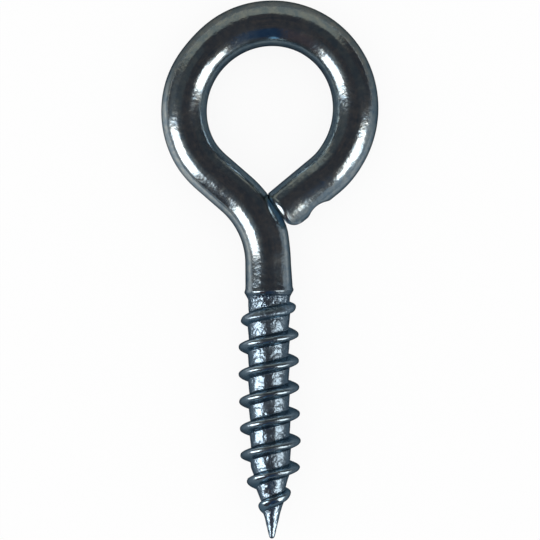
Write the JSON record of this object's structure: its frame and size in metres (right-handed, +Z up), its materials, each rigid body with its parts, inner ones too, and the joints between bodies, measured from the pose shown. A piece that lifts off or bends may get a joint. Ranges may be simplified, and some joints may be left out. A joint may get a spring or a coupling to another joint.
{
  "type": "screw eye",
  "caption": "Screw eye bent from bright zinc-plated steel wire: a closed round eye on a swept neck, and a coarse right-hand wood thread running out on a gimlet point.",
  "frame": {"origin": "centre of the eye, midway through the wire", "axes": "+Y from the screw's point towards the eye's far side, +X towards the side where the wire's sheared end closes the eye, +Z up from the surface it lies on. At rest the screw's axis rises by 1.37 degrees towards the point."},
  "size_m": [0.0162, 0.04, 0.0047],
  "materials": {
    "zinc_plated_steel": "bright zinc plating with a light blue passivation over drawn steel wire; smooth on the wire, finely rough between the threads"
  },
  "bodies": {
    "root": {"screw_eye": "zinc_plated_steel"}
  },
  "joints": []
}
